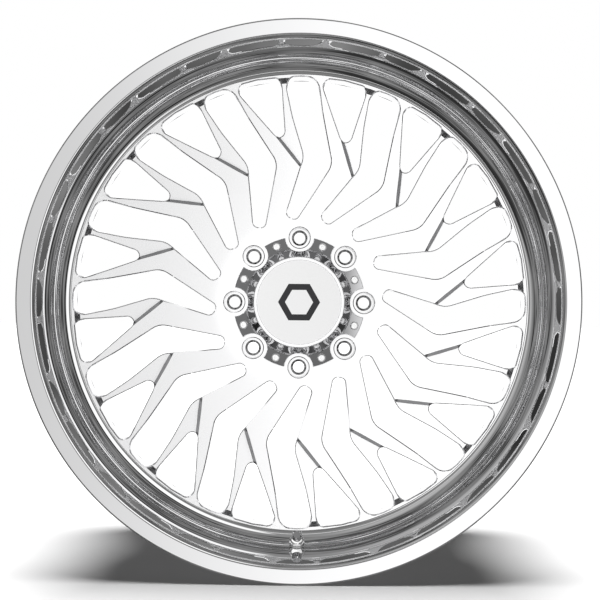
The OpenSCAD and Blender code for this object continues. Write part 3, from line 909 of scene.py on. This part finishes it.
def world():
    """A studio: an even softbox for satin surfaces, and a window of light for mirror surfaces."""
    w = bpy.data.worlds.new("studio")
    bpy.context.scene.world = w
    w.cycles_visibility.diffuse = False
    w.use_nodes = True
    tree = w.node_tree
    coords = node(tree, "ShaderNodeTexCoord")
    split = node(tree, "ShaderNodeSeparateXYZ")
    tree.links.new(coords.outputs["Generated"], split.inputs[0])
    x, y, z = split.outputs

    def fed(n, values):
        for socket, value in zip(n.inputs, values):
            if hasattr(value, "is_output"):
                tree.links.new(value, socket)
            else:
                socket.default_value = value
        return n.outputs[0]

    def calc(operation, *values):
        return fed(node(tree, "ShaderNodeMath", operation=operation), values)

    def ramp(value, start, end, low=0.0, high=1.0):
        """Eases from low to high while the value goes from start to end."""
        n = node(tree, "ShaderNodeMapRange", interpolation_type="SMOOTHSTEP")
        return fed(n, (value, start, end, low, high))

    def band(value, rise, fall):
        """1 between the rise and the fall, and 0 beyond them."""
        return calc("MULTIPLY", ramp(value, *rise), ramp(value, *fall, 1.0, 0.0))

    def mixed(factor, low, high):
        return calc("ADD", calc("MULTIPLY", high, factor),
                    calc("MULTIPLY", low, calc("SUBTRACT", 1.0, factor)))

    def length(u, v):
        return calc("SQRT", calc("ADD", calc("MULTIPLY", u, u), calc("MULTIPLY", v, v)))

    # degrees away from straight in front
    off_front = calc("MULTIPLY", calc("ARCCOSINE", calc("MULTIPLY", y, -1.0)), 180 / math.pi)

    # what satin and matt surfaces see: a softbox all round the front, brighter on the left
    left_light, middle_light, right_light, side_light, rear_light = 1.19, 1.0, 0.87, 1.4, 1.1
    soft = mixed(ramp(x, 0.1, 0.7), ramp(x, -0.05, 0.15, left_light, middle_light), right_light)
    soft = mixed(ramp(off_front, 72.0, 88.0), soft, side_light)
    soft = mixed(ramp(off_front, 120.0, 150.0), soft, rear_light)

    # what mirror surfaces see in front, on a wall one unit away
    towards = calc("MAXIMUM", calc("MULTIPLY", y, -1.0), 0.02)
    wall_x, wall_z = calc("DIVIDE", x, towards), calc("DIVIDE", z, towards)
    # a window of light on the right, a faint glow on the left, and gloom low on the left
    window_light, glow_light, gloom_light = 1.15, 0.2, 0.03
    window = calc("MULTIPLY", band(wall_x, (0.02, 0.07), (0.36, 0.56)),
                  band(wall_z, (-0.20, -0.10), (0.45, 0.65)))
    glow = band(wall_x, (-0.02, -0.25), (-0.35, -0.7))
    gloom = calc("MULTIPLY", ramp(wall_x, 0.0, -0.12), ramp(wall_z, -0.04, -0.14))
    plain = calc("ADD", calc("MULTIPLY", glow, glow_light), ramp(z, -0.2, 0.3, 0.17, 0.28))
    front = calc("MAXIMUM", calc("MULTIPLY", window, window_light), mixed(gloom, plain, gloom_light))
    # a ring of light in front, brighter on the right, which the flat lip shows
    across, upward = calc("ADD", wall_x, 0.0026), calc("SUBTRACT", wall_z, 0.0143)
    ring = band(length(across, upward), (0.240, 0.246), (0.284, 0.290))
    ring = calc("MULTIPLY", ring, calc("LESS_THAN", y, 0.0))
    front = mixed(ring, front, ramp(across, -0.30, 0.12, 0.68, 1.15))

    # and all round: grey clouds and streaks, a dark line on the right, and a bright doorway behind
    streak_light, line_light, doorway_light = 0.05, 0.01, 1.2
    streak = calc("SINE", calc("MULTIPLY", off_front, 0.55))
    cloud = noise(tree, coords.outputs["Generated"], scale=5.0, detail=3.0)
    rear = calc("ADD", ramp(cloud, 0.35, 0.65, 0.05, 0.26), calc("MULTIPLY", streak, streak_light))
    sharp = mixed(ramp(off_front, 34.0, 50.0), front, rear)
    line_right = calc("MULTIPLY", band(off_front, (27.0, 30.0), (36.0, 40.0)), ramp(x, 0.05, 0.3))
    sharp = mixed(line_right, sharp, line_light)
    off_back = length(calc("SUBTRACT", x, 0.002), calc("ADD", z, 0.0126))
    doorway = calc("MULTIPLY", ramp(off_back, 0.208, 0.216, doorway_light, 0.0), calc("GREATER_THAN", y, 0.0))
    sharp = calc("MAXIMUM", sharp, doorway)

    rays = node(tree, "ShaderNodeLightPath")
    level = mixed(rays.outputs["Is Singular Ray"], soft, sharp)
    level = mixed(rays.outputs["Is Camera Ray"], level, 1.0)
    background = tree.nodes["Background"]
    tree.links.new(level, background.inputs["Strength"])
    background.inputs["Color"].default_value = (1, 1, 1, 1)


def lamp():
    """A wide soft light overhead and a little behind, for the floor and the shadow on it."""
    data = bpy.data.lights.new("overhead", "SUN")
    data.energy = 56.0
    data.angle = math.radians(38)
    light = bpy.data.objects.new("overhead", data)
    light.rotation_euler = (math.radians(-4), 0, 0)
    light.visible_glossy = False
    bpy.context.scene.collection.objects.link(light)


def camera():
    """The photo's view: almost along the spin axis, from a little over a metre before the lip."""
    distance = 1.187 + half_w * MM
    azimuth, elevation, roll = math.radians(0.13), math.radians(-0.72), math.radians(0.5)
    eye = Vector((math.sin(azimuth), -1.0, math.tan(elevation))) * distance
    aim = Vector((0.0014, -half_w * MM, 0.0005))
    data = bpy.data.cameras.new("camera")
    data.sensor_width = 36.0
    data.lens = 62.8
    data.clip_start, data.clip_end = 0.01, 100.0
    cam = bpy.data.objects.new("camera", data)
    cam.location = eye
    cam.rotation_mode = "QUATERNION"
    turn = (aim - eye).to_track_quat("-Z", "Y")
    cam.rotation_quaternion = turn @ Matrix.Rotation(roll, 4, "Z").to_quaternion()
    bpy.context.scene.collection.objects.link(cam)
    bpy.context.scene.camera = cam


stage()
world()
lamp()
camera()
bpy.context.scene.view_settings.view_transform = "Standard"
